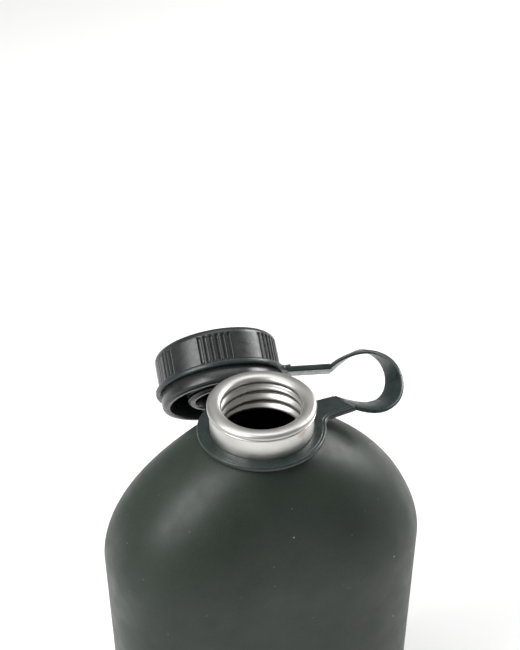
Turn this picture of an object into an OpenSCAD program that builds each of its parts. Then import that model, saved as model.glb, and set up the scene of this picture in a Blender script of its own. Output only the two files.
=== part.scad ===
// Kidney-section steel canteen with a screw cap held by a flexible strap.
// Lengths are in millimetres. The bottle stands on z = 0, its neck axis is the Z axis,
// and the shallow hollow of the kidney section faces -Y. The cap hangs open behind the neck.

/* [Body] */
// Width of the body where the shoulder meets the wall
body_w = 132; // [128:1:138]
// Depth from the neck axis to the rounded back
back_depth = 41; // [38:0.5:44]
// Depth from the neck axis to the front lobes, before the hollow is taken off
front_depth = 45; // [43:0.5:47]
// Share of the radius that the front hollow takes off
hollow = 0.147; // [0:0.005:0.16]
// Height of the straight wall
wall_h = 105; // [90:1:120]
// Height of the domed shoulder above the wall
shoulder_h = 55; // [50:1:60]
// Draft of the wall on each side, in degrees
draft = 2.3; // [0:0.1:3]
// Thickness of the steel sheet
sheet = 0.8; // [0.6:0.1:1.2]

/* [Neck] */
// Outer radius of the neck wall
neck_r = 21; // [20:0.5:21.5]
// Height of the rim above the shoulder
neck_h = 15; // [14.5:0.1:16]
// Radius of the mouth
mouth_r = 16.1; // [15.9:0.1:16.5]
// Outer radius of the rolled lip
lip_r = 22; // [21.6:0.1:22.2]
// Height of the rolled lip
lip_h = 3.4; // [3:0.1:4]
// Rise of the thread in one turn
thread_pitch = 4.84; // [4:0.02:5]

/* [Cap] */
// Outer radius of the cap
cap_r = 26; // [25.8:0.1:26.2]
// Height of the cap top above the rim, when closed
cap_top = 12.2; // [11:0.1:13]
// Reach of the skirt below the rim, when closed
skirt = 11.5; // [10:0.1:11.8]
// Ribs in each group
ribs = 6; // [4:1:6]
// Tilt of the open cap about its own arm, its arm and the upright, in degrees
cap_turned = [-55.6, -6.8, -10];
// Place of the open cap's seat, measured from the centre of the rim
cap_place = [-1.8, 51.7, -22.8];

/* [Strap] */
// Width of the strap and of the cap ring's arm
strap_w = 13.6; // [12:0.2:15]
// Width of the strap at its root, where the tab on the neck ends
root_w = 11.2; // [10:0.2:12]
// Thickness of the strap where it flexes
strap_t = 1.6; // [1.2:0.1:2]
// Outer radius of the ring on the neck
neck_ring_r = 26; // [25:0.5:27]
// Outer radius of the ring on the cap
cap_ring_r = 27.8; // [27.2:0.1:28]
// Thickness of both rings
ring_t = 2.4; // [2:0.1:2.4]
// Direction in which the tab leaves the neck, in degrees
tab_turn = 8.5; // [6:0.1:10]

/* [Hidden] */

SIDES = 72;                       // points round the body
FULLNESS = 2.3;                   // exponent of the kidney's superellipse
HOLLOW_SPREAD = 35;               // half width of the front hollow, in degrees
DOME_IN = 1.69;                   // how fast the shoulder closes in
DOME_UP = 1.07;                   // how fast the shoulder rises
TOE = 5;                          // radius of the bottom edge
GAP = 0.3;                        // gap between parts that only touch
RUN = 0.08;                       // radial running clearance of the rings
TURNS = 3;                        // thread turns on each part
HEAD = 1.4;                       // underside of the cap's head, above the rim
STEP_DEPTH = 1;                   // drop inside the cap's top rim
POCKET_DEPTH = 3.4;               // drop to the floor under the cap's disc
ARM_REACH = 46;                   // from the cap's axis to the end of its arm
TAB_REACH = 37.8;                 // from the neck's axis to the middle of the tab's end

shoulder_z = wall_h + shoulder_h;
rim_z = shoulder_z + neck_h;
hole_r = neck_r + GAP;
seat_low = -5.4;                  // lower face of the groove that holds the cap ring
seat_h = ring_t + 0.2;
seat_r = cap_ring_r - 2.8;        // floor of that groove
step_r = 0.87 * cap_r;            // inner edge of the cap's top rim
disc_r = 0.72 * cap_r;            // radius of the disc let into the top
skirt_r = 22.9;                   // bore of the skirt, which passes the lip
steel = [0.72, 0.71, 0.68];
coat = [0.19, 0.22, 0.2];
strap_green = [0.17, 0.22, 0.21];
cap_black = [0.12, 0.13, 0.13];

// The strap is most of a circle in plan, with one wave in its height and a fall at its end.
LOOP_MID = [46, 21.5];            // centre of the circle, from the neck axis
LOOP_R = 18;                      // radius of the circle
LOOP_FROM = -115;                 // direction of the strap's root, in degrees
LOOP_TO = 98;                     // direction of its outer end, in degrees
LOOP_Z = -15.2;                   // mean height, from the rim
WAVE = 3;                         // height of the wave
FALL = 4.4;                       // fall of the outer end
ROOT_SIDE = [-0.5, 0.85, -0.05];  // width direction at the root
MID_SIDE = [-0.2, 0.9, -0.42];    // and round the loop
END_SIDE = [0.25, 0.65, -0.7];    // and at the outer end

// ---- the body's outline ----

// Radius of the kidney section at angle a, with the hollow at 270 degrees.
function kidney_r(a) =
    let (depth = sin(a) < 0 ? front_depth : back_depth,
         full = pow(pow(abs(cos(a)) * 2 / body_w, FULLNESS) + pow(abs(sin(a)) / depth, FULLNESS),
                    -1 / FULLNESS))
    full * (1 - hollow * exp(-pow((a - 270) / HOLLOW_SPREAD, 2)));

function angle_at(i) = 360 * i / SIDES;

// One level of the wall, drawn in by inset.
function wall_ring(z, inset) =
    [for (i = [0:SIDES - 1])
        let (a = angle_at(i), r = kidney_r(a) - (wall_h - z) * tan(draft) - inset)
        [r * cos(a), r * sin(a), z]];

// One level of the shoulder, where f runs from 0 at the wall to 90 at the neck.
function dome_ring(f, inset) =
    [for (i = [0:SIDES - 1])
        let (a = angle_at(i), r = hole_r + (kidney_r(a) - hole_r) * pow(cos(f), DOME_IN))
        [(r - inset * cos(f)) * cos(a), (r - inset * cos(f)) * sin(a),
         wall_h + shoulder_h * pow(sin(f), DOME_UP) - inset * sin(f)]];

// Two triangles on each side between ring j and ring k of n points.
function between(j, k, n) =
    [for (i = [0:n - 1])
        let (next = (i + 1) % n) each [
            [j * n + i, k * n + i, k * n + next],
            [j * n + i, k * n + next, j * n + next]]];

// A closed solid through a stack of rings, lowest first, each counter-clockwise from above.
module loft(rings) {
    n = len(rings[0]);
    last = len(rings) - 1;
    polyhedron(
        points = [for (ring = rings) each ring],
        faces = concat(
            [[for (i = [0:n - 1]) i], [for (i = [n - 1:-1:0]) last * n + i]],
            [for (j = [0:last - 1]) each between(j, j + 1, n)]));
}

// A sheet with a hole at each end: rings up the outside, then down the inside, with the last
// one joined to the first.
module skin(rings) {
    n = len(rings[0]);
    levels = len(rings);
    polyhedron(
        points = [for (ring = rings) each ring],
        faces = [for (j = [0:levels - 1]) each between(j, (j + 1) % levels, n)]);
}

// ---- bottle ----

module body_shell() {
    toe_in = TOE - sheet;
    outside = concat(
        [for (t = [0:30:90]) wall_ring(TOE * (1 - cos(t)), TOE * (1 - sin(t)))],
        [wall_ring(wall_h / 2, 0)],
        [for (f = [0:7.5:90]) dome_ring(f, 0)]);
    inside = concat(
        [for (f = [90:-9:0]) dome_ring(f, sheet)],
        [wall_ring(wall_h / 2, sheet)],
        [for (t = [90:-30:30]) wall_ring(TOE - toe_in * sin(90 - t), TOE - toe_in * sin(t))],
        [wall_ring(sheet + 0.1, TOE + sheet), wall_ring(0, TOE + sheet)]);
    color(coat) skin(concat(outside, inside));
}

// The foot's inner outline, drawn in by inset.
module base_outline(inset) {
    polygon([for (p = wall_ring(0, TOE + sheet + inset)) [p[0], p[1]]]);
}

// A flat pan with one pressed bead that runs round it.
module base_pan() {
    bead_h = 1;
    bead_from = 6;
    bead_to = 12;
    color(coat) difference() {
        union() {
            linear_extrude(height = sheet) base_outline(GAP);
            linear_extrude(height = bead_h + sheet) difference() {
                base_outline(bead_from - sheet);
                base_outline(bead_to + sheet);
            }
        }
        translate([0, 0, -1]) linear_extrude(height = bead_h + 1) difference() {
            base_outline(bead_from);
            base_outline(bead_to);
        }
    }
}

module neck_sleeve() {
    bottom = shoulder_z - 3;
    top = rim_z - lip_h - 0.1;
    color(steel) translate([0, 0, bottom]) rotate_extrude($fn = 96)
        translate([neck_r - sheet, 0]) square([sheet, top - bottom]);
}

// Section of the lip: a flattened roll, square to the neck below.
module lip_section() {
    roll = lip_h / 2;
    translate([mouth_r, -lip_h]) {
        translate([roll, roll]) circle(r = roll, $fn = 48);
        translate([lip_r - mouth_r - roll, roll]) circle(r = roll, $fn = 48);
        translate([roll, 0]) square([lip_r - mouth_r - lip_h, lip_h]);
    }
}

// Rounded ridges on a tube, one a pitch apart.
module ridges(r, first, high) {
    for (i = [0:TURNS - 1])
        translate([r, -first - i * thread_pitch]) scale([high, 1.3]) circle(r = 1, $fn = 24);
}

module threaded_neck() {
    liner_r = neck_r - sheet - 0.1;
    bore_r = mouth_r + 1.5;
    depth = neck_h + 2;
    color(steel) translate([0, 0, rim_z]) rotate_extrude($fn = 96) union() {
        lip_section();
        difference() {
            translate([bore_r, -depth]) square([liner_r - bore_r, depth - lip_h + 0.4]);
            translate([liner_r - 1, -depth - 1]) square([2, 1.5]);
        }
        intersection() {
            ridges(bore_r, lip_h + 2, 1.3);
            translate([mouth_r, -depth]) square([2, depth]);
        }
    }
}

// ---- strap ----

// A flat ring with an arm along +X that runs into it through two hollow corners. The arm is
// root wide at the ring and tip wide at its end, which leans forward on the -Y side.
module ring_and_arm(inner_r, outer_r, reach, corner, root, tip, lean) {
    across = root / 2 + corner;
    along = sqrt(pow(outer_r + corner, 2) - pow(across, 2));
    difference() {
        union() {
            circle(r = outer_r, $fn = 96);
            polygon([[inner_r, -root / 2], [along, -root / 2], [reach + lean, -tip / 2],
                     [reach - lean, tip / 2], [along, root / 2], [inner_r, root / 2]]);
            difference() {
                polygon([[0, 0], [along, -across], [along, across]]);
                for (side = [-1, 1]) translate([along, side * across]) circle(r = corner, $fn = 64);
            }
        }
        circle(r = inner_r, $fn = 96);
    }
}

module neck_ring() {
    color(strap_green) translate([0, 0, shoulder_z + 0.2]) rotate([0, 0, tab_turn])
        linear_extrude(height = ring_t)
            ring_and_arm(neck_r + RUN, neck_ring_r, TAB_REACH, 5, root_w + 0.8, root_w, 2.2);
}

function smooth(t) = let (x = min(max(t, 0), 1)) x * x * (3 - 2 * x);

// Middle of the strap in direction a round its loop.
function strap_middle(a) =
    [LOOP_MID[0] + LOOP_R * cos(a), LOOP_MID[1] + LOOP_R * sin(a),
     rim_z + LOOP_Z + WAVE * sin(2 * a + 20) - FALL * pow(max(0, a - 45) / (LOOP_TO - 45), 1.5)];

// Width direction of the strap in direction a: it turns near the root and towards the end.
function strap_side(a) =
    let (root = smooth((a - LOOP_FROM) / 60), end = smooth((a - 20) / (LOOP_TO - 20)),
         side = (1 - root) * ROOT_SIDE + (root - end) * MID_SIDE + end * END_SIDE)
    side / norm(side);

// Width of the strap in direction a: it widens from its root over the first 45 degrees.
function strap_width(a) = strap_w - (strap_w - root_w) * max(0, 1 - (a - LOOP_FROM) / 45);

// Four corners of the strap's section in direction a.
function strap_ring(a) =
    let (run = strap_middle(min(a + 1, LOOP_TO)) - strap_middle(max(a - 1, LOOP_FROM)),
         face = cross(strap_side(a), run),
         side = strap_side(a) * strap_width(a) / 2,
         up = face / norm(face) * strap_t / 2,
         c = strap_middle(a))
    [c - side + up, c + side + up, c + side - up, c - side - up];

module strap_run(from, to) {
    steps = round((to - from) / 5);
    color(strap_green) loft([for (i = [0:steps]) strap_ring(from + (to - from) * i / steps)]);
}

module strap_lower() { strap_run(LOOP_FROM + 0.5, -54.25); }
module strap_bend() { strap_run(-53.75, 6.5); }
module strap_crown() { strap_run(7, 52); }
module strap_upper() { strap_run(52.5, LOOP_TO - 1); }

// ---- cap ----

// Moves the closed cap, whose seat is at the origin, to where it hangs open.
module open_cap() {
    translate(cap_place + [0, 0, rim_z]) rotate(cap_turned) children();
}

// The arm's outer stretch drops and twists a little from the plane of the ring.
module cap_ring() {
    groove_w = 1.3;
    groove_depth = 0.6;
    groove_out = 2.6;             // from the arm's middle line
    drop = 7.1;                   // in degrees
    twist = 9.5;                  // in degrees
    root = 30;                    // from the cap's axis
    tip = ARM_REACH - root;
    color(strap_green) open_cap() translate([0, 0, seat_low + 0.1]) {
        linear_extrude(height = ring_t)
            ring_and_arm(seat_r + RUN, cap_ring_r, root, 3, strap_w, strap_w, 0);
        translate([root, 0, ring_t / 2]) rotate([twist, drop, 0]) difference() {
            translate([-1.5, -strap_w / 2, -ring_t / 2]) cube([tip + 1.5, strap_w, ring_t]);
            for (side = [-1, 1])
                translate([2, side * groove_out - groove_w / 2, ring_t / 2 - groove_depth])
                    cube([tip - 3, groove_w, 2]);
        }
    }
}

// Section of the cap: rounded top edge, groove for the ring, lower band and open skirt.
module cap_section() {
    top_edge = 3;
    foot_edge = 1.6;
    seat_top = seat_low + seat_h;
    difference() {
        union() {
            translate([0, seat_top]) square([cap_r, cap_top - top_edge - seat_top]);
            translate([0, cap_top - top_edge]) square([cap_r - top_edge, top_edge]);
            translate([cap_r - top_edge, cap_top - top_edge]) circle(r = top_edge, $fn = 64);
            translate([0, seat_low]) square([seat_r, seat_h]);
            translate([0, foot_edge - skirt]) square([cap_r, seat_low + skirt - foot_edge]);
            translate([0, -skirt]) square([cap_r - foot_edge, foot_edge]);
            translate([cap_r - foot_edge, foot_edge - skirt]) circle(r = foot_edge, $fn = 48);
        }
        translate([-1, -skirt - 1]) square([skirt_r + 1, skirt + 1 + HEAD]);
        translate([-1, cap_top - STEP_DEPTH]) square([step_r + 1, 3]);
        translate([-1, cap_top - POCKET_DEPTH]) square([disc_r + 1, 5]);
        translate([-100, -50]) square([100, 100]);
    }
}

module cap_shell() {
    groups = 6;
    rib_pitch = 5.6;              // in degrees
    notch_r = 0.85;
    notch_low = -1.4;
    notch_top = 9;
    color(cap_black) open_cap() difference() {
        rotate_extrude($fn = 120) cap_section();
        for (group = [0:groups - 1], i = [0:ribs - 1])
            rotate([0, 0, 360 / groups * (group + 0.5) + (i - (ribs - 1) / 2) * rib_pitch])
                translate([cap_r + 0.25, 0, notch_low])
                    cylinder(r = notch_r, h = notch_top - notch_low, $fn = 16);
    }
}

module cap_disc() {
    color(cap_black) open_cap() translate([0, 0, cap_top - POCKET_DEPTH + 0.1])
        cylinder(r = disc_r - 0.1, h = 1.5, $fn = 96);
}

// The hollow plug that screws into the neck, with its flange against the cap's head.
module cap_plug() {
    core_r = 14.4;
    core_wall = 2.4;
    low = 0.7 - skirt;
    flange_r = 15.4;
    flange_t = 1.5;
    color(cap_black) open_cap() rotate_extrude($fn = 96) {
        translate([core_r - core_wall, low]) square([core_wall, HEAD - 0.1 - low]);
        translate([0, HEAD - 0.1 - flange_t]) square([flange_r, flange_t]);
        intersection() {
            ridges(core_r, 3.2, 1.1);
            translate([core_r - 1, low]) square([3, skirt]);
        }
    }
}

module cap_gasket() {
    inner_r = 15.6;
    color("dimgray") open_cap() translate([0, 0, 0.06]) rotate_extrude($fn = 96)
        translate([inner_r, 0]) square([skirt_r - 0.1 - inner_r, HEAD - 0.12]);
}

body_shell();
base_pan();
neck_sleeve();
threaded_neck();
neck_ring();
strap_lower();
strap_bend();
strap_crown();
strap_upper();
cap_ring();
cap_shell();
cap_disc();
cap_plug();
cap_gasket();
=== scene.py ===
"""Looks of the kidney-section steel canteen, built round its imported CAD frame.

Lengths are in metres unless a name or comment says otherwise. The origin is on the neck axis
in the standing plane, +Z is up, X runs along the width and the hollowed side faces -Y.
"""

import math

import bpy
import numpy as np
from mathutils import Matrix, Vector
from mathutils.geometry import tessellate_polygon


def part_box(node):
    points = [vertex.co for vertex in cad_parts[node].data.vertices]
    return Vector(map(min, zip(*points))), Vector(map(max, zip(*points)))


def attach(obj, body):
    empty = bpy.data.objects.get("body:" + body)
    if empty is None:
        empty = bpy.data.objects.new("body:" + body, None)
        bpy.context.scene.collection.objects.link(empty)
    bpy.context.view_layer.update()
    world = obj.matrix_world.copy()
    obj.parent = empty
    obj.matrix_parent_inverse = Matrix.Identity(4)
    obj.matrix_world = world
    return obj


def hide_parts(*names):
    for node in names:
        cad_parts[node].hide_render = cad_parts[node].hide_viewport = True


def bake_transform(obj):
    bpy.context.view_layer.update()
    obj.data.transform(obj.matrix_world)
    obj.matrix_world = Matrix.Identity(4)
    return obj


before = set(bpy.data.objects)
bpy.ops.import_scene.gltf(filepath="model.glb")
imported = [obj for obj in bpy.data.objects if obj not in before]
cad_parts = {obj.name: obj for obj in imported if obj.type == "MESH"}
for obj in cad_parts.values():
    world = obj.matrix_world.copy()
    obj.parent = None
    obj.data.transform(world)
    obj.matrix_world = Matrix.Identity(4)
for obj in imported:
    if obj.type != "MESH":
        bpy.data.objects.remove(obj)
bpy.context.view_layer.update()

MM = 0.001
TAU = 2 * math.pi

# ---- sizes read from the frame ----

body_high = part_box("body_shell")[1]
HALF_WIDTH = body_high.x
BACK_DEPTH = body_high.y
SHOULDER_Z = body_high.z
RIM_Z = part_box("threaded_neck")[1].z
LIP_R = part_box("threaded_neck")[1].x
NECK_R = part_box("neck_sleeve")[1].x
NECK_RING_R = -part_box("neck_ring")[0].x
RING_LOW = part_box("neck_ring")[0].z
RING_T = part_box("neck_ring")[1].z - RING_LOW

# ---- sizes that the frame doesn't state, the same as in the design ----

FRONT_DEPTH = 45 * MM
FULLNESS = 2.3
HOLLOW = 0.147
HOLLOW_SPREAD = math.radians(35)
HOLLOW_AT = 1.5 * math.pi
WALL_H = 105 * MM
DRAFT = math.radians(2.3)
DOME_IN = 1.69
DOME_UP = 1.07
TOE = 5 * MM
SHEET = 0.8 * MM
HOLE_R = NECK_R + 0.3 * MM
MOUTH_R = 16.1 * MM
BORE_R = 17.6 * MM
PITCH = 4.84 * MM
TAB_TURN = math.radians(8.5)
TAB_REACH = 37.8 * MM
TAB_LEAN = 2.2 * MM
ROOT_W = 11.2 * MM
STRAP_W = 13.6 * MM
STRAP_T = 1.6 * MM
CAP_R = 26 * MM
CAP_TOP = 12.2 * MM
SKIRT = 11.5 * MM
SEAT_LOW = -5.4 * MM
SEAT_H = 2.6 * MM
SEAT_R = 25 * MM
CAP_RING_R = 27.8 * MM
HEAD = 1.4 * MM
POCKET_DEPTH = 3.4 * MM
STEP_R = 0.87 * CAP_R
DISC_R = 0.72 * CAP_R
SKIRT_R = 22.9 * MM
RUN = 0.08 * MM         # radial running clearance of the rings
AXIS_HOLE = 0.2 * MM    # radius of the pinhole that a revolved piece keeps on its axis
ARM_REACH = 46 * MM
ARM_ROOT = 30 * MM
ARM_DROP = math.radians(7.1)
ARM_TWIST = math.radians(9.5)
CAP_TURNED = [math.radians(angle) for angle in (-55.6, -6.8, -10)]
CAP_PLACE = Vector((-1.8, 51.7, -22.8)) * MM

# The strap: most of a circle in plan, with one wave in its height and a fall at its end.
LOOP_MID = Vector((46, 21.5)) * MM
LOOP_R = 18 * MM
LOOP_FROM, LOOP_TO = -115, 98
LOOP_Z = -15.2 * MM
WAVE = 3 * MM
WAVE_SHIFT = math.radians(20)
FALL = 4.4 * MM
FALL_FROM = 45
WIDEN_OVER = 45      # the strap reaches its full width this far from its root, in degrees
ROOT_TURN = 60       # its width direction leaves the root's over this many degrees
END_TURN_FROM = 20   # and turns towards the end's from here
ROOT_SIDE = np.array([-0.5, 0.85, -0.05])
MID_SIDE = np.array([-0.2, 0.9, -0.42])
END_SIDE = np.array([0.25, 0.65, -0.7])

# Direction of the brown stain under the lip.
STAIN_ANGLE = math.radians(-58)


# ---- materials ----


def new_material(name, color, roughness, metallic=0.0, specular=0.5):
    """A material, its node tree, its shader and a coordinate node in the object's own space."""
    material = bpy.data.materials.new(name)
    material.use_nodes = True
    tree = material.node_tree
    shader = tree.nodes["Principled BSDF"]
    shader.inputs["Base Color"].default_value = (*color, 1)
    shader.inputs["Roughness"].default_value = roughness
    shader.inputs["Metallic"].default_value = metallic
    shader.inputs["Specular IOR Level"].default_value = specular
    place = tree.nodes.new("ShaderNodeTexCoord")
    return material, tree, shader, place.outputs["Object"]


def noise(tree, place, scale, detail=3.0, stretch=None):
    """Noise of so many cells to the metre; stretch scales it along X, Y and Z."""
    if stretch is not None:
        mapping = tree.nodes.new("ShaderNodeMapping")
        mapping.inputs["Scale"].default_value = stretch
        tree.links.new(place, mapping.inputs["Vector"])
        place = mapping.outputs["Vector"]
    node = tree.nodes.new("ShaderNodeTexNoise")
    node.inputs["Scale"].default_value = scale
    node.inputs["Detail"].default_value = detail
    tree.links.new(place, node.inputs["Vector"])
    return node.outputs["Fac"]


def ramp(tree, value, *stops):
    """A colour ramp with stops (position, colour), where a colour is one number or three."""
    node = tree.nodes.new("ShaderNodeValToRGB")
    elements = node.color_ramp.elements
    while len(elements) < len(stops):
        elements.new(0.5)
    for element, (position, color) in zip(elements, stops):
        color = (color,) * 3 if isinstance(color, (int, float)) else color
        element.position = position
        element.color = (*color, 1)
    tree.links.new(value, node.inputs["Fac"])
    return node.outputs["Color"]


def mix_color(tree, share, a, b, blend_type="MIX"):
    """a and b mixed by share; each is a socket or a colour."""
    node = tree.nodes.new("ShaderNodeMix")
    node.data_type = "RGBA"
    node.blend_type = blend_type
    sockets = {"Factor": share, "A": a, "B": b}
    for key, value in sockets.items():
        kind = "VALUE" if key == "Factor" else "RGBA"
        target = next(s for s in node.inputs if s.name == key and s.type == kind)
        if isinstance(value, bpy.types.NodeSocket):
            tree.links.new(value, target)
        else:
            target.default_value = value if key == "Factor" else (*value, 1)
    return next(s for s in node.outputs if s.type == "RGBA")


def maths(tree, operation, a, b=0.0):
    node = tree.nodes.new("ShaderNodeMath")
    node.operation = operation
    for target, value in zip(node.inputs, (a, b)):
        if isinstance(value, bpy.types.NodeSocket):
            tree.links.new(value, target)
        else:
            target.default_value = value
    return node.outputs["Value"]


def bump(tree, shader, height, distance, strength=1.0, under=None):
    """Adds a bump of that depth in metres to the shader, on top of an earlier one."""
    node = tree.nodes.new("ShaderNodeBump")
    node.inputs["Distance"].default_value = distance
    node.inputs["Strength"].default_value = strength
    tree.links.new(height, node.inputs["Height"])
    if under is not None:
        tree.links.new(under, node.inputs["Normal"])
    tree.links.new(node.outputs["Normal"], shader.inputs["Normal"])
    return node.outputs["Normal"]


def specks(tree, place, scale, radius, share):
    """1 in small spots and 0 elsewhere: about that share of a cell grid has a spot in it."""
    cells = tree.nodes.new("ShaderNodeTexVoronoi")
    cells.inputs["Scale"].default_value = scale
    tree.links.new(place, cells.inputs["Vector"])
    spot = maths(tree, "LESS_THAN", cells.outputs["Distance"], radius)
    split = tree.nodes.new("ShaderNodeSeparateColor")
    tree.links.new(cells.outputs["Color"], split.inputs["Color"])
    chosen = maths(tree, "LESS_THAN", split.outputs["Red"], share)
    return maths(tree, "MULTIPLY", spot, chosen)


def coated_steel():
    """Satin dark grey-green coat: fine texture, cloudy colour and a few pale dust specks."""
    material, tree, shader, place = new_material("coated_steel", (0.022, 0.031, 0.026), 0.46, 0, 0.35)
    cloudy = noise(tree, place, 45, 4)
    base = ramp(tree, cloudy, (0.3, (0.016, 0.025, 0.018)), (0.7, (0.024, 0.034, 0.025)))
    grain = ramp(tree, noise(tree, place, 2600, 2), (0.35, 0.8), (0.65, 1.15))
    base = mix_color(tree, 1.0, base, grain, "MULTIPLY")
    fine = specks(tree, place, 420, 0.14, 0.05)
    large = specks(tree, place, 90, 0.035, 0.3)
    base = mix_color(tree, maths(tree, "MULTIPLY", fine, 0.35), base, (0.16, 0.18, 0.17))
    base = mix_color(tree, maths(tree, "MULTIPLY", large, 0.7), base, (0.3, 0.32, 0.3))
    tree.links.new(base, shader.inputs["Base Color"])
    worn = ramp(tree, noise(tree, place, 120, 5), (0.3, 0.4), (0.7, 0.52))
    tree.links.new(worn, shader.inputs["Roughness"])
    coarse = bump(tree, shader, noise(tree, place, 1500, 3), 0.04 * MM, 0.5)
    bump(tree, shader, maths(tree, "ADD", fine, large), 0.05 * MM, 0.6, coarse)
    return material


def bare_steel(name, roughness, tone):
    """Satin spun steel, with fine rings round the neck axis and a faint brown stain."""
    material, tree, shader, place = new_material(name, (tone, tone, tone), roughness, 1.0)
    cloudy = noise(tree, place, 90, 4)
    dull = (tone * 0.9, tone * 0.89, tone * 0.85)
    bright = (tone * 1.06, tone * 1.05, tone * 1.0)
    base = ramp(tree, cloudy, (0.3, dull), (0.7, bright))
    stain_at = Vector((math.cos(STAIN_ANGLE), math.sin(STAIN_ANGLE), 0)) * NECK_R
    stain_at.z = RIM_Z - 5.2 * MM
    away = tree.nodes.new("ShaderNodeVectorMath")
    away.operation = "DISTANCE"
    away.inputs[1].default_value = stain_at
    tree.links.new(place, away.inputs[0])
    wobble = maths(tree, "MULTIPLY", noise(tree, place, 600, 3), 4 * MM)
    reach = maths(tree, "ADD", away.outputs["Value"], wobble)
    stain = ramp(tree, maths(tree, "DIVIDE", reach, 10 * MM), (0.25, 0.55), (0.55, 0.0))
    base = mix_color(tree, stain, base, (0.3, 0.19, 0.1))
    tree.links.new(base, shader.inputs["Base Color"])
    rings = noise(tree, place, 400, 3, (0.05, 0.05, 14))
    patchy = noise(tree, place, 160, 4)
    uneven = maths(tree, "ADD", maths(tree, "MULTIPLY", rings, 0.12), maths(tree, "MULTIPLY", patchy, 0.12))
    tree.links.new(maths(tree, "ADD", uneven, roughness - 0.12), shader.inputs["Roughness"])
    dents = bump(tree, shader, rings, 0.012 * MM, 0.5)
    bump(tree, shader, noise(tree, place, 1400, 3), 0.015 * MM, 0.5, dents)
    return material


def strap_plastic():
    """Semi-gloss dark blue-green moulded plastic with a fine leathery grain."""
    material, tree, shader, place = new_material("strap_plastic", (0.015, 0.025, 0.024), 0.34, 0, 0.45)
    cloudy = noise(tree, place, 160, 4)
    base = ramp(tree, cloudy, (0.3, (0.01, 0.018, 0.017)), (0.7, (0.021, 0.032, 0.03)))
    dusty = specks(tree, place, 700, 0.12, 0.05)
    base = mix_color(tree, maths(tree, "MULTIPLY", dusty, 0.4), base, (0.16, 0.2, 0.19))
    tree.links.new(base, shader.inputs["Base Color"])
    rough = ramp(tree, noise(tree, place, 350, 4), (0.3, 0.24), (0.7, 0.42))
    tree.links.new(rough, shader.inputs["Roughness"])
    bump(tree, shader, noise(tree, place, 1300, 4), 0.05 * MM, 0.6)
    return material


def cap_plastic():
    """Satin-gloss near-black moulded plastic with light rub marks."""
    material, tree, shader, place = new_material("cap_plastic", (0.02, 0.022, 0.022), 0.3, 0, 0.5)
    cloudy = noise(tree, place, 140, 4)
    base = ramp(tree, cloudy, (0.3, (0.012, 0.014, 0.014)), (0.7, (0.02, 0.023, 0.022)))
    tree.links.new(base, shader.inputs["Base Color"])
    rubbed = ramp(tree, noise(tree, place, 500, 5, (1, 1, 0.2)), (0.3, 0.24), (0.7, 0.38))
    tree.links.new(rubbed, shader.inputs["Roughness"])
    bump(tree, shader, noise(tree, place, 1700, 3), 0.008 * MM, 0.4)
    return material


def disc_plastic():
    """Scuffed near-black plastic: cloudy grey rub marks and fine scratches."""
    material, tree, shader, place = new_material("disc_plastic", (0.024, 0.027, 0.026), 0.5, 0, 0.5)
    smears = noise(tree, place, 110, 6)
    base = ramp(tree, smears, (0.35, (0.019, 0.022, 0.021)), (0.7, (0.048, 0.052, 0.051)))
    scratched = ramp(tree, noise(tree, place, 700, 2, (0.2, 6, 1)), (0.62, 0.0), (0.75, 0.5))
    base = mix_color(tree, scratched, base, (0.07, 0.076, 0.075))
    tree.links.new(base, shader.inputs["Base Color"])
    tree.links.new(ramp(tree, smears, (0.35, 0.4), (0.7, 0.62)), shader.inputs["Roughness"])
    bump(tree, shader, noise(tree, place, 900, 4), 0.03 * MM, 0.6)
    return material


def gasket_rubber():
    """Matte dark rubber."""
    material, tree, shader, place = new_material("gasket_rubber", (0.022, 0.022, 0.022), 0.75, 0, 0.4)
    base = ramp(tree, noise(tree, place, 300, 3), (0.3, 0.017), (0.7, 0.028))
    tree.links.new(base, shader.inputs["Base Color"])
    bump(tree, shader, noise(tree, place, 1500, 3), 0.03 * MM, 0.5)
    return material


def floor_paint():
    """Plain pale floor with the faintest unevenness."""
    material, tree, shader, place = new_material("floor_paint", (0.9, 0.9, 0.9), 0.9, 0, 0.1)
    base = ramp(tree, noise(tree, place, 3, 2), (0.3, 0.89), (0.7, 0.91))
    tree.links.new(base, shader.inputs["Base Color"])
    return material


MATERIALS = {
    "coated_steel": coated_steel(),
    "bare_steel": bare_steel("bare_steel", 0.4, 0.68),
    "lip_steel": bare_steel("lip_steel", 0.4, 0.54),
    "strap_plastic": strap_plastic(),
    "cap_plastic": cap_plastic(),
    "disc_plastic": disc_plastic(),
    "gasket_rubber": gasket_rubber(),
}


# ---- mesh helpers ----


def make_object(name, points, faces, sharp=math.radians(50)):
    """A smooth-shaded object; edges that turn by more than sharp stay crisp."""
    mesh = bpy.data.meshes.new(name)
    mesh.from_pydata([tuple(point) for point in points], [], faces)
    mesh.validate()
    mesh.polygons.foreach_set("use_smooth", [True] * len(mesh.polygons))
    mesh.set_sharp_from_angle(angle=sharp)
    obj = bpy.data.objects.new(name, mesh)
    bpy.context.scene.collection.objects.link(obj)
    return obj


def band_faces(levels, count, closed_stack):
    """Quads between rings of count points; closed_stack joins the last ring to the first."""
    faces = []
    for j in range(levels if closed_stack else levels - 1):
        k = (j + 1) % levels
        for i in range(count):
            n = (i + 1) % count
            faces.append((j * count + i, j * count + n, k * count + n, k * count + i))
    return faces


def loft(name, rings, closed_stack=False, caps=False, **options):
    """An object through rings of equally many points, each closed on itself."""
    rings = [np.asarray(ring, float) for ring in rings]
    count = len(rings[0])
    faces = band_faces(len(rings), count, closed_stack)
    if caps:
        last = (len(rings) - 1) * count
        faces.append(tuple(range(count - 1, -1, -1)))
        faces.append(tuple(last + i for i in range(count)))
    return make_object(name, np.concatenate(rings), faces, **options)


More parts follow.
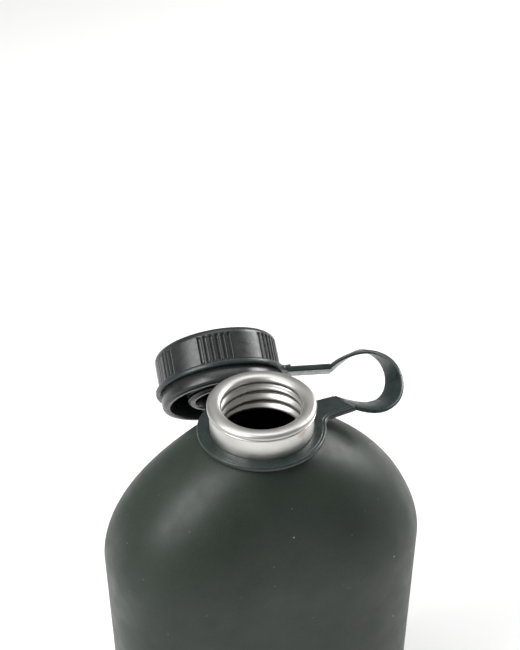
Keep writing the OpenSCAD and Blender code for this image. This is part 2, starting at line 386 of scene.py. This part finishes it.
def revolve(name, profile, segments=192, change=None, closed=True, **options):
    """Turns (radius, height) points round Z. change(angles, r, z) may vary each ring's radii."""
    angles = np.arange(segments) * TAU / segments
    rings = []
    for r, z in profile:
        radii = np.full(segments, float(r)) if change is None else change(angles, r, z)
        rings.append(np.stack([radii * np.cos(angles), radii * np.sin(angles),
                               np.full(segments, float(z))], 1))
    return loft(name, rings, closed_stack=closed, **options)


def arc(centre, radius, start, end, steps):
    """Points on an arc from start to end, in degrees, about centre."""
    turn = np.radians(np.linspace(start, end, steps))
    return [(centre[0] + radius * math.cos(t), centre[1] + radius * math.sin(t)) for t in turn]


def between(low, high, steps):
    """Points along a straight line, both ends included."""
    return [(low[0] + (high[0] - low[0]) * s, low[1] + (high[1] - low[1]) * s)
            for s in np.linspace(0, 1, steps)]


def settle(obj, body, material, slot, *nodes):
    """Gives a piece its material, hides the nodes it stands for and lets it ride. slot is not used."""
    obj.data.materials.clear()
    obj.data.materials.append(MATERIALS[material])
    if nodes:
        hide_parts(*nodes)
    if body is not None:
        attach(obj, body)
    return obj


# ---- bottle ----

SIDES = 240


def kidney_radius(angles):
    depth = np.where(np.sin(angles) < 0, FRONT_DEPTH, BACK_DEPTH)
    full = (np.abs(np.cos(angles) / HALF_WIDTH) ** FULLNESS
            + np.abs(np.sin(angles) / depth) ** FULLNESS) ** (-1 / FULLNESS)
    return full * (1 - HOLLOW * np.exp(-(((angles - HOLLOW_AT) / HOLLOW_SPREAD) ** 2)))


def wall_ring(angles, z, inset):
    r = kidney_radius(angles) - (WALL_H - z) * math.tan(DRAFT) - inset
    return np.stack([r * np.cos(angles), r * np.sin(angles), np.full(len(angles), z)], 1)


def dome_ring(angles, f, inset):
    r = HOLE_R + (kidney_radius(angles) - HOLE_R) * max(math.cos(f), 0) ** DOME_IN
    r = r - inset * math.cos(f)
    z = WALL_H + (SHOULDER_Z - WALL_H) * math.sin(f) ** DOME_UP - inset * math.sin(f)
    return np.stack([r * np.cos(angles), r * np.sin(angles), np.full(len(angles), z)], 1)


def make_body():
    angles = np.arange(SIDES) * TAU / SIDES
    toe_in = TOE - SHEET
    quarter = math.pi / 2
    rings = [wall_ring(angles, 0, TOE + SHEET)]
    rings += [wall_ring(angles, TOE * (1 - math.cos(t)), TOE * (1 - math.sin(t)))
              for t in np.linspace(0, quarter, 9)]
    rings += [wall_ring(angles, z, 0) for z in np.linspace(TOE, WALL_H, 14)[1:-1]]
    rings += [dome_ring(angles, f, 0) for f in np.linspace(0, quarter, 46)]
    rings += [dome_ring(angles, f, SHEET) for f in np.linspace(quarter, 0, 24)]
    rings += [wall_ring(angles, z, SHEET) for z in np.linspace(WALL_H, TOE, 6)[1:-1]]
    rings += [wall_ring(angles, TOE - toe_in * math.cos(t), TOE - toe_in * math.sin(quarter - t))
              for t in np.linspace(quarter, math.radians(30), 5)]
    rings.append(wall_ring(angles, SHEET + 0.1 * MM, TOE + SHEET))
    body = loft("body", rings, closed_stack=True, sharp=math.radians(60))
    return settle(body, "bottle", "coated_steel", "coated_steel", "body_shell")


def make_neck_wall():
    low, high = SHOULDER_Z - 3 * MM, RIM_Z - 3.5 * MM
    inner = NECK_R - SHEET
    profile = [(inner, low), (NECK_R, low)]
    profile += between((NECK_R, low + 1 * MM), (NECK_R, high), 8)
    profile += [(inner, high)]
    wall = revolve("neck_wall", profile)
    return settle(wall, "bottle", "bare_steel", "bare_steel", "neck_sleeve")


def smooth_step(x):
    x = np.clip(x, 0, 1)
    return x * x * (3 - 2 * x)


def ridge(turns):
    """Height of a rolled thread from 0 in the valley to 1 on the crest, once for each turn."""
    return (0.5 + 0.5 * np.cos(TAU * turns)) ** 0.62


def make_threaded_neck():
    """Rolled lip and liner in one skin; the thread is a true helix on the liner's bore."""
    depth = 17 * MM
    thread_from, thread_to = 4.0 * MM, 16.4 * MM
    liner_r = NECK_R - SHEET - 0.1 * MM
    lip = [
        (21.4, -3.38), (21.72, -3.3), (21.85, -3.08), (21.82, -2.86), (21.6, -2.74), (21.55, -2.66),
        (21.7, -2.58), (21.88, -2.36), (21.98, -2.0), (22.0, -1.6), (21.9, -1.15), (21.66, -0.74),
        (21.3, -0.42), (20.85, -0.2), (20.3, -0.07), (19.7, -0.01), (19.1, 0.0), (18.5, -0.04),
        (17.95, -0.14), (17.45, -0.3), (17.0, -0.55), (16.62, -0.88), (16.33, -1.3), (16.16, -1.8),
        (16.1, -2.3), (16.18, -2.75), (16.45, -3.15), (16.85, -3.5), (17.3, -3.75),
    ]
    profile = [(r * MM * LIP_R / (22 * MM), RIM_Z + z * MM) for r, z in lip]
    profile += between((BORE_R, RIM_Z - thread_from), (BORE_R, RIM_Z - depth), 110)
    profile += [(liner_r, RIM_Z - depth), (liner_r, RIM_Z - 3.4 * MM)]

    def threaded(angles, r, z):
        radii = np.full(len(angles), float(r))
        if abs(r - BORE_R) > 1e-6:
            return radii
        down = RIM_Z - z
        fade = smooth_step((down - thread_from) / (1.2 * MM)) * smooth_step((thread_to - down) / (1.2 * MM))
        turns = (down - 5.4 * MM) / PITCH - angles / TAU
        return radii - (BORE_R - MOUTH_R) * ridge(turns) * fade

    neck = revolve("threaded_liner", profile, segments=224, change=threaded)
    return settle(neck, "bottle", "lip_steel", "bare_steel", "threaded_neck")


# ---- strap rings ----


def offset_loop(loop, distance):
    """A closed 2D loop moved to its left by distance, with mitred corners."""
    loop = np.asarray(loop, float)
    ahead = np.roll(loop, -1, 0) - loop
    ahead /= np.linalg.norm(ahead, axis=1)[:, None]
    back = np.roll(ahead, 1, 0)
    left_a = np.stack([-ahead[:, 1], ahead[:, 0]], 1)
    left_b = np.stack([-back[:, 1], back[:, 0]], 1)
    spread = 1 + (left_a * left_b).sum(1)
    return loop + distance * (left_a + left_b) / spread[:, None]


def at_height(loop, z):
    return [(x, y, z) for x, y in loop]


def ring_and_arm(inner_r, outer_r, reach, corner, root, tip, lean, outer_edge, inner_edge):
    """A flat ring with an arm along +X. The edges are (inset, height) points from low to high.

    The arm is root wide at the ring and tip wide at its end, which leans forward on the -Y side.
    The outer loop runs counter-clockwise and the hole clockwise, so solid is always to the left.
    """
    across = root / 2 + corner
    along = math.sqrt((outer_r + corner) ** 2 - across ** 2)
    meet = math.degrees(math.atan2(across, along))
    front, back = (reach + lean, -tip / 2), (reach - lean, tip / 2)
    outer = arc((0, 0), outer_r, meet, 360 - meet, 150)
    outer += arc((along, -across), corner, 180 - meet, 90, 12)[1:]
    outer += between((along, -root / 2), front, 9)[1:]
    outer += between(front, back, 5)[1:]
    outer += between(back, (along, root / 2), 9)[1:]
    outer += arc((along, across), corner, 270, 180 + meet, 12)[1:-1]
    hole = arc((0, 0), inner_r, 360, 0, 145)[:-1]

    points, faces, lids = [], [], {"low": [], "high": []}
    for loop, edge in ((outer, outer_edge), (hole, inner_edge)):
        start = len(points)
        rings = [at_height(offset_loop(loop, inset), z) for inset, z in edge]
        for ring in rings:
            points += ring
        count = len(loop)
        faces += [tuple(start + i for i in face) for face in band_faces(len(rings), count, False)]
        lids["low"].append((start, rings[0]))
        lids["high"].append((start + (len(rings) - 1) * count, rings[-1]))
    for side, loops in lids.items():
        index = [start + i for start, ring in loops for i in range(len(ring))]
        flat = [[Vector(point) for point in ring] for _, ring in loops]
        for a, b, c in tessellate_polygon(flat):
            corners = [points[index[i]] for i in (a, b, c)]
            turn = ((corners[1][0] - corners[0][0]) * (corners[2][1] - corners[0][1])
                    - (corners[1][1] - corners[0][1]) * (corners[2][0] - corners[0][0]))
            up = turn > 0
            triangle = (index[a], index[b], index[c])
            faces.append(triangle if up == (side == "high") else triangle[::-1])
    return points, faces


def edge_profile(height, ledge_in, ledge_drop, roundness):
    """(inset, height) points up a rounded edge with a ledge along the top."""
    points = arc((roundness, roundness), roundness, 270, 180, 6)
    top = height - ledge_drop
    points += arc((roundness, top - roundness), roundness, 180, 90, 7)
    if ledge_drop:
        points += [(ledge_in, top), (ledge_in + 0.12 * MM, top + ledge_drop * 0.75),
                   (ledge_in + 0.3 * MM, height)]
    else:
        points += [(roundness + 0.3 * MM, height)]
    return points


def make_neck_ring():
    inner = NECK_R + RUN
    outer_edge = [(x, RING_LOW + z) for x, z in edge_profile(RING_T, 1.35 * MM, 0.16 * MM, 0.8 * MM)]
    inner_edge = [(x, RING_LOW + z) for x, z in edge_profile(RING_T, 0, 0, 0.35 * MM)]
    points, faces = ring_and_arm(inner, NECK_RING_R, TAB_REACH, 5 * MM, ROOT_W + 0.8 * MM, ROOT_W,
                                 TAB_LEAN, outer_edge, inner_edge)
    ring = make_object("neck_ring_piece", points, faces, sharp=math.radians(40))
    ring.data.transform(Matrix.Rotation(TAB_TURN, 4, "Z"))
    return settle(ring, "neck_retainer", "strap_plastic", "strap_plastic", "neck_ring")


# ---- strap ----


def strap_middle(a):
    """Middle of the strap in direction a round its loop, in degrees."""
    t = math.radians(a)
    wave = WAVE * math.sin(2 * t + WAVE_SHIFT)
    fall = FALL * (max(0, a - FALL_FROM) / (LOOP_TO - FALL_FROM)) ** 1.5
    return np.array([LOOP_MID.x + LOOP_R * math.cos(t), LOOP_MID.y + LOOP_R * math.sin(t),
                     RIM_Z + LOOP_Z + wave - fall])


def strap_axes(a):
    """Middle point, unit width direction and unit face direction of the strap in direction a."""
    root = float(smooth_step((a - LOOP_FROM) / ROOT_TURN))
    end = float(smooth_step((a - END_TURN_FROM) / (LOOP_TO - END_TURN_FROM)))
    side = (1 - root) * ROOT_SIDE + (root - end) * MID_SIDE + end * END_SIDE
    side /= np.linalg.norm(side)
    run = strap_middle(min(a + 1, LOOP_TO)) - strap_middle(max(a - 1, LOOP_FROM))
    up = np.cross(run, side)
    return strap_middle(a), side, up / np.linalg.norm(up)


def strap_width(a):
    return STRAP_W - (STRAP_W - ROOT_W) * max(0, 1 - (a - LOOP_FROM) / WIDEN_OVER)


def rounded_section(width, thickness, radius, steps=5):
    """Points of a rounded rectangle, counter-clockwise, across and through the strap."""
    half_w, half_t = width / 2 - radius, thickness / 2 - radius
    points = []
    for sx, sy, start in ((1, 1, 0), (-1, 1, 90), (-1, -1, 180), (1, -1, 270)):
        points += arc((sx * half_w, sy * half_t), radius, start, start + 90, steps)
    return points


def strap_piece(name, a_from, a_to, thick_from=STRAP_T, thick_to=STRAP_T):
    """One stretch of the strap. Its thickness may change along it."""
    steps = max(8, int(round((a_to - a_from) / 2)))
    rings = []
    for s in np.linspace(0, 1, steps + 1):
        a = a_from + (a_to - a_from) * s
        centre, side, up = strap_axes(a)
        section = rounded_section(strap_width(a), thick_from + (thick_to - thick_from) * s, 0.62 * MM)
        rings.append([centre + side * x + up * y for x, y in section])
    return loft(name, rings, caps=True, sharp=math.radians(60))


def blend_line(a_from, a_to, margin):
    """Start and end of a blend, square to the strap's width, drawn in by margin at each end."""
    start, side_a, _ = strap_axes(a_from)
    end, side_b, _ = strap_axes(a_to)
    side = side_a + side_b
    side /= np.linalg.norm(side)
    run = end - start
    run -= side * run.dot(side)
    length = np.linalg.norm(run)
    run /= length
    return tuple(start + run * margin), tuple(start + run * (length - margin))


def make_strap():
    """Four stretches in one line. The root rides on the neck retainer; the other three ride on no body."""
    root = strap_piece("strap_root", LOOP_FROM - 4, -78, RING_T - 0.4 * MM, STRAP_T)
    settle(root, "neck_retainer", "strap_plastic", "strap_plastic", "strap_lower")
    stretches = (
        ("strap_loop", -78, -5, "neck_retainer", "bend", "strap_bend"),
        ("strap_top", -5, 31, "bend", "crown", "strap_crown"),
        ("strap_far", 31, LOOP_TO, "crown", "cap_retainer", "strap_upper"),
    )
    for name, a_from, a_to, body_a, body_b, node in stretches:
        piece = strap_piece(name, a_from, a_to)
        settle(piece, None, "strap_plastic", "strap_plastic", node)
        start, end = blend_line(a_from, a_to, 1.0 * MM)
        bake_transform(piece)


# ---- cap ----


def open_cap():
    """The place of the open cap: its seat and axis, as the design gives them."""
    turn = (Matrix.Rotation(CAP_TURNED[2], 4, "Z") @ Matrix.Rotation(CAP_TURNED[1], 4, "Y")
            @ Matrix.Rotation(CAP_TURNED[0], 4, "X"))
    return Matrix.Translation(CAP_PLACE + Vector((0, 0, RIM_Z))) @ turn


def make_cap_ring():
    low = SEAT_LOW + 0.1 * MM
    outer_edge = [(x, low + z) for x, z in edge_profile(RING_T, 0.9 * MM, 0.1 * MM, 0.7 * MM)]
    inner_edge = [(x, low + z) for x, z in edge_profile(RING_T, 0, 0, 0.3 * MM)]
    points, faces = ring_and_arm(SEAT_R + RUN, CAP_RING_R, ARM_ROOT, 3 * MM, STRAP_W, STRAP_W,
                                 0, outer_edge, inner_edge)
    ring = make_object("cap_ring_piece", points, faces, sharp=math.radians(40))
    ring.data.transform(open_cap())
    settle(ring, "cap_retainer", "strap_plastic", "strap_plastic", "cap_ring")

    arm = make_arm()
    middle = Matrix.Translation((ARM_ROOT, 0, low + RING_T / 2))
    turn = Matrix.Rotation(ARM_DROP, 4, "Y") @ Matrix.Rotation(ARM_TWIST, 4, "X")
    arm.data.transform(open_cap() @ middle @ turn)
    settle(arm, "cap_retainer", "strap_plastic", "strap_plastic")


def make_arm():
    """The arm's outer stretch, with two grooves along its upper face."""
    length = ARM_REACH - ARM_ROOT + 0.9 * MM
    half, half_t, round_r = STRAP_W / 2, RING_T / 2, 0.6 * MM
    rings = []
    stations = [-1.5 * MM, 1.4 * MM]
    stations += list(np.linspace(2 * MM, length - 1 * MM, 14))
    stations += [length - 0.4 * MM, length]
    groove = ((0.95, 0), (0.6, 0.45), (0.35, 0.6), (-0.35, 0.6), (-0.6, 0.45), (-0.95, 0))
    for x in stations:
        grow = float(smooth_step((x - 1.4 * MM) / (1.2 * MM)))
        grow *= float(smooth_step((length - 0.6 * MM - x) / (1.2 * MM)))
        draw_in = 0.35 * MM if x > length - 0.2 * MM else 0
        section = arc((half - round_r, half_t - round_r), round_r - draw_in, 0, 90, 6)
        for side in (1, -1):
            for across, depth in groove:
                level = half_t - draw_in - depth * grow * MM
                section.append((side * 2.6 * MM + across * MM, level))
        for sx, sz, start in ((-1, 1, 90), (-1, -1, 180), (1, -1, 270)):
            corner = (sx * (half - round_r), sz * (half_t - round_r))
            section += arc(corner, round_r - draw_in, start, start + 90, 6)
        rings.append([(x, y, z) for y, z in section])
    return loft("cap_ring_arm", rings, caps=True, sharp=math.radians(40))


def cap_profile():
    """The cap's section: outside from the foot up, over the top, then down inside."""
    edge, foot = 3 * MM, 1.6 * MM
    seat_top = SEAT_LOW + SEAT_H
    tiny = 0.25 * MM
    profile = arc((CAP_R - foot, foot - SKIRT), foot, 270, 360, 8)
    profile += [(CAP_R, SEAT_LOW - tiny), (CAP_R - tiny, SEAT_LOW), (SEAT_R, SEAT_LOW)]
    profile += [(SEAT_R, seat_top), (CAP_R - tiny, seat_top), (CAP_R, seat_top + tiny)]
    profile += between((CAP_R, seat_top + 0.6 * MM), (CAP_R, CAP_TOP - edge), 40)
    profile += arc((CAP_R - edge, CAP_TOP - edge), edge, 0, 90, 16)[1:]
    profile += [(STEP_R + 0.35 * MM, CAP_TOP), (STEP_R + 0.08 * MM, CAP_TOP - 0.12 * MM)]
    profile += [(STEP_R, CAP_TOP - 0.85 * MM), (STEP_R - 0.25 * MM, CAP_TOP - 1 * MM)]
    ridge_r = (STEP_R + DISC_R) / 2
    profile += [(ridge_r + 1.2 * MM, CAP_TOP - 1 * MM), (ridge_r + 0.4 * MM, CAP_TOP - 0.75 * MM)]
    profile += [(DISC_R + 0.9 * MM, CAP_TOP - 0.62 * MM), (DISC_R + 0.35 * MM, CAP_TOP - 0.75 * MM)]
    profile += [(DISC_R, CAP_TOP - 1.2 * MM), (DISC_R, CAP_TOP - POCKET_DEPTH)]
    return profile


def rib_depth(angles, z):
    """Depth of the grip notches: six groups of six, cut straight down the wall."""
    groups, ribs, pitch = 6, 6, math.radians(5.6)
    low, high = -2.5 * MM, 9.4 * MM
    share = float(smooth_step((z - low) / (0.5 * MM)) * smooth_step((high - z) / (0.9 * MM)))
    turn = angles % (TAU / groups) - math.pi / groups
    near = turn / pitch + (ribs - 1) / 2
    inside = (near > -0.5) & (near < ribs - 0.5)
    offset = (near - np.round(near)) * pitch * CAP_R
    cut = np.sqrt(np.clip(1 - (offset / (0.8 * MM)) ** 4, 0, 1))
    return np.where(inside, cut, 0) * 0.8 * MM * share


def make_cap():
    floor = CAP_TOP - POCKET_DEPTH
    foot_in = 0.6 * MM
    inner = [(AXIS_HOLE, floor), (AXIS_HOLE, HEAD), (SKIRT_R, HEAD), (SKIRT_R, -SKIRT + foot_in)]
    inner += [(SKIRT_R + 0.15 * MM, -SKIRT + 0.15 * MM), (SKIRT_R + foot_in, -SKIRT)]

    def ribbed(angles, r, z):
        radii = np.full(len(angles), float(r))
        if abs(r - CAP_R) < 1e-6 and z > SEAT_LOW + SEAT_H:
            radii -= rib_depth(angles, z)
        return radii

    shell = revolve("cap_body", cap_profile() + inner, segments=720, change=ribbed, sharp=math.radians(55))
    shell.data.transform(open_cap())
    settle(shell, "cap", "cap_plastic", "cap_plastic", "cap_shell")

    disc_r = DISC_R - 0.1 * MM
    low, top = floor + 0.1 * MM, floor + 1.6 * MM
    face = [(AXIS_HOLE, low), (disc_r, low), (disc_r, top - 0.3 * MM), (disc_r - 0.3 * MM, top)]
    face += [(disc_r - 1.6 * MM, top), (disc_r - 2.1 * MM, top - 0.2 * MM)]
    face += between((disc_r - 4 * MM, top - 0.24 * MM), (AXIS_HOLE, top - 0.32 * MM), 8)
    disc = revolve("cap_inlay", face, segments=144)
    disc.data.transform(open_cap())
    settle(disc, "cap", "disc_plastic", "disc_plastic", "cap_disc")


def make_plug():
    """Hollow plug with a helical thread that clears the neck's thread."""
    core, wall, low = 14.4 * MM, 2.4 * MM, 0.7 * MM - SKIRT
    crest = 15.5 * MM
    flange_r, flange_low = 15.4 * MM, HEAD - 1.6 * MM
    profile = [(AXIS_HOLE, flange_low), (core - wall, flange_low), (core - wall, low + 0.4 * MM)]
    profile += [(core - wall + 0.4 * MM, low), (core - 0.5 * MM, low)]
    profile += between((core, low + 0.5 * MM), (core, flange_low - 0.6 * MM), 80)
    profile += [(core + 0.3 * MM, flange_low), (flange_r, flange_low), (flange_r, HEAD - 0.1 * MM)]
    profile += [(AXIS_HOLE, HEAD - 0.1 * MM)]

    def threaded(angles, r, z):
        radii = np.full(len(angles), float(r))
        if abs(r - core) > 1e-6:
            return radii
        fade = smooth_step((z - low - 0.5 * MM) / (1.2 * MM))
        fade *= smooth_step((flange_low - 0.8 * MM - z) / (1.2 * MM))
        turns = (-z - 3.2 * MM) / PITCH - angles / TAU
        return radii + (crest - core) * ridge(turns) * fade

    plug = revolve("cap_plug_piece", profile, segments=192, change=threaded)
    plug.data.transform(open_cap())
    return settle(plug, "cap", "cap_plastic", "cap_plastic", "cap_plug")


def dress_kept_nodes():
    """Gives the CAD nodes that stay on show their procedural materials."""
    for node, material in (("base_pan", "coated_steel"), ("cap_gasket", "gasket_rubber")):
        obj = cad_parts[node]
        obj.data.materials.clear()
        obj.data.materials.append(MATERIALS[material])


# ---- camera, light and floor ----


def make_camera():
    """Level camera over the hollowed side, aimed so that the rim sits low in the frame."""
    azimuth, elevation, distance = math.radians(-18.24), math.radians(37.48), 0.8
    rim = Vector((0, 0, RIM_Z))
    back = Vector((math.sin(azimuth) * math.cos(elevation), -math.cos(azimuth) * math.cos(elevation),
                   math.sin(elevation)))
    right = Vector((math.cos(azimuth), math.sin(azimuth), 0))
    target = rim + back.cross(right) * 30.5 * MM - right * 0.7 * MM
    data = bpy.data.cameras.new("camera")
    data.sensor_width = 36
    data.lens = 111.8
    data.clip_start, data.clip_end = 0.01, 20
    camera = bpy.data.objects.new("camera", data)
    camera.location = rim + back * distance
    camera.rotation_euler = (target - camera.location).to_track_quat("-Z", "Y").to_euler()
    bpy.context.scene.collection.objects.link(camera)
    bpy.context.scene.camera = camera


def area_light(name, place, target, width, height, watts, color=(1, 1, 1)):
    data = bpy.data.lights.new(name, "AREA")
    data.shape = "RECTANGLE"
    data.size, data.size_y = width, height
    data.energy = watts
    data.color = color
    light = bpy.data.objects.new(name, data)
    light.location = place
    light.rotation_euler = (Vector(target) - Vector(place)).to_track_quat("-Z", "Y").to_euler()
    bpy.context.scene.collection.objects.link(light)


def make_studio():
    world = bpy.data.worlds.new("studio")
    world.use_nodes = True
    background = world.node_tree.nodes["Background"]
    background.inputs["Color"].default_value = (1.0, 1.0, 0.98, 1)
    background.inputs["Strength"].default_value = 0.3
    bpy.context.scene.world = world
    bpy.context.scene.view_settings.view_transform = "Standard"
    middle = (0, 0, 0.13)
    area_light("key", (-0.7, -0.15, 0.72), middle, 0.55, 0.6, 8.5)
    area_light("fill", (0.8, 0.25, 0.6), middle, 0.4, 0.45, 8)
    area_light("top", (0, 0.3, 1.3), middle, 1.2, 0.8, 6)

    size = 3.0
    floor = make_object("floor", [(-size, -size, -0.0003), (size, -size, -0.0003),
                                  (size, size, -0.0003), (-size, size, -0.0003)], [(0, 1, 2, 3)])
    floor.data.materials.append(floor_paint())


make_camera()
make_studio()
make_body()
make_neck_wall()
make_threaded_neck()
make_neck_ring()
make_strap()
make_cap_ring()
make_cap()
make_plug()
dress_kept_nodes()
